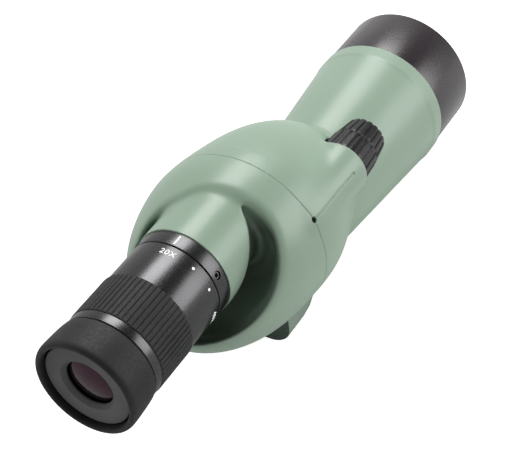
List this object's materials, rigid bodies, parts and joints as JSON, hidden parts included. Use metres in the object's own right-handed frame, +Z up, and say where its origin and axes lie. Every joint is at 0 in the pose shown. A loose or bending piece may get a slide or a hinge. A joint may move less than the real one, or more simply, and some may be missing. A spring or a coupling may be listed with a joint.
{
  "type": "spotting scope",
  "caption": "Straight spotting scope: zoom eyepiece with rubber eyecup, round prism housing, two-section focus knob, conical tube, dark hood, tripod foot.",
  "frame": {"origin": "centre of the mouth of the tripod thread, on the flat underside of the foot", "axes": "+Z up, +Y along the line of sight toward the objective, +X to the right of a user looking through the eyepiece"},
  "size_m": [0.076, 0.2551, 0.0864],
  "materials": {
    "body_green": "satin sage green lacquer on light alloy",
    "foot_green": "satin sage green lacquer",
    "hood_black": "satin black with a violet cast",
    "anodised_black": "black anodised, finely turned",
    "rubber_grip": "ribbed rubber",
    "rubber_cup": "matt rubber",
    "rubber_seal": "seal rubber",
    "plastic_grey": "fine-textured dark grey",
    "knob_black": "satin black coated, ribbed light alloy",
    "carriage_black": "matt black moulding",
    "inner_black": "matt black anodised inside",
    "steel": "plain steel",
    "steel_black": "blackened steel",
    "brass": "turned brass",
    "glass": "polished, green coating",
    "glass_eye": "polished, magenta coating"
  },
  "bodies": {
    "scope": {"rear_cover": "body_green", "front_body": "body_green", "seam_oring": "rubber_seal", "cover_screws": "steel_black", "tripod_foot": "foot_green", "tripod_bush": "brass", "foot_screws": "steel_black", "prism_rear": "glass", "prism_front": "glass", "prism_plate": "inner_black", "plate_screws": "steel", "prism_clips": "steel", "guide_rods": "steel", "rod_baffle": "inner_black", "focus_bush": "brass", "focus_seal": "rubber_seal", "objective_cell": "inner_black", "objective_rear_lens": "glass", "objective_spacer": "inner_black", "objective_front_lens": "glass", "objective_retainer": "inner_black", "objective_hood": "hood_black", "eyepiece_chassis": "inner_black", "eyepiece_collar": "anodised_black", "collar_set_screws": "steel", "field_cell": "inner_black", "field_lens": "glass_eye", "field_ring": "inner_black", "field_stop": "inner_black", "eye_cell": "inner_black", "eye_lens": "glass_eye", "eye_spacer": "inner_black", "eye_inner_lens": "glass_eye", "face_plate": "plastic_grey"},
    "zoom_ring": {"zoom_barrel": "anodised_black", "zoom_grip": "rubber_grip"},
    "zoom_group": {"zoom_cell": "inner_black", "zoom_lens": "glass_eye", "cam_pin": "brass"},
    "eyecup_body": {"eyecup": "rubber_cup"},
    "focus_drive": {"focus_shaft": "steel", "shaft_clip": "steel", "coarse_knob": "knob_black", "knob_screw": "steel_black"},
    "fine_drive": {"fine_knob": "knob_black"},
    "focus_group": {"focus_carriage": "carriage_black", "focus_nut": "brass", "focus_lens": "glass", "focus_lens_ring": "carriage_black"}
  },
  "joints": [
    {"name": "zoom_turn", "type": "hinge", "parent": "scope", "child": "zoom_ring", "pos_m": [0, -0.09, 0.062], "axis": [0, -1, 0], "range_deg": [0, 101]},
    {"name": "zoom_slide", "type": "slide", "parent": "scope", "child": "zoom_group", "axis": [0, -1, 0], "range_m": [0, 0.0121]},
    {"name": "eyecup_slide", "type": "slide", "parent": "zoom_ring", "child": "eyecup_body", "axis": [0, -1, 0], "range_m": [0, 0.007]},
    {"name": "focus_turn", "type": "hinge", "parent": "scope", "child": "focus_drive", "pos_m": [0.0232, 0.032, 0.0601], "axis": [0, 1, 0], "range_deg": [-360, 360]},
    {"name": "fine_turn", "type": "hinge", "parent": "focus_drive", "child": "fine_drive", "pos_m": [0.0232, 0.045, 0.0601], "axis": [0, 1, 0], "continuous": true},
    {"name": "focus_slide", "type": "slide", "parent": "scope", "child": "focus_group", "axis": [0, 1, 0], "range_m": [-0.00501, 0.00501]}
  ],
  "couplings": [
    {"joint": "zoom_slide", "follows": "zoom_turn", "m_per_rad": 0.0068074},
    {"joint": "focus_slide", "follows": "focus_turn", "m_per_rad": 0.00079577}
  ]
}
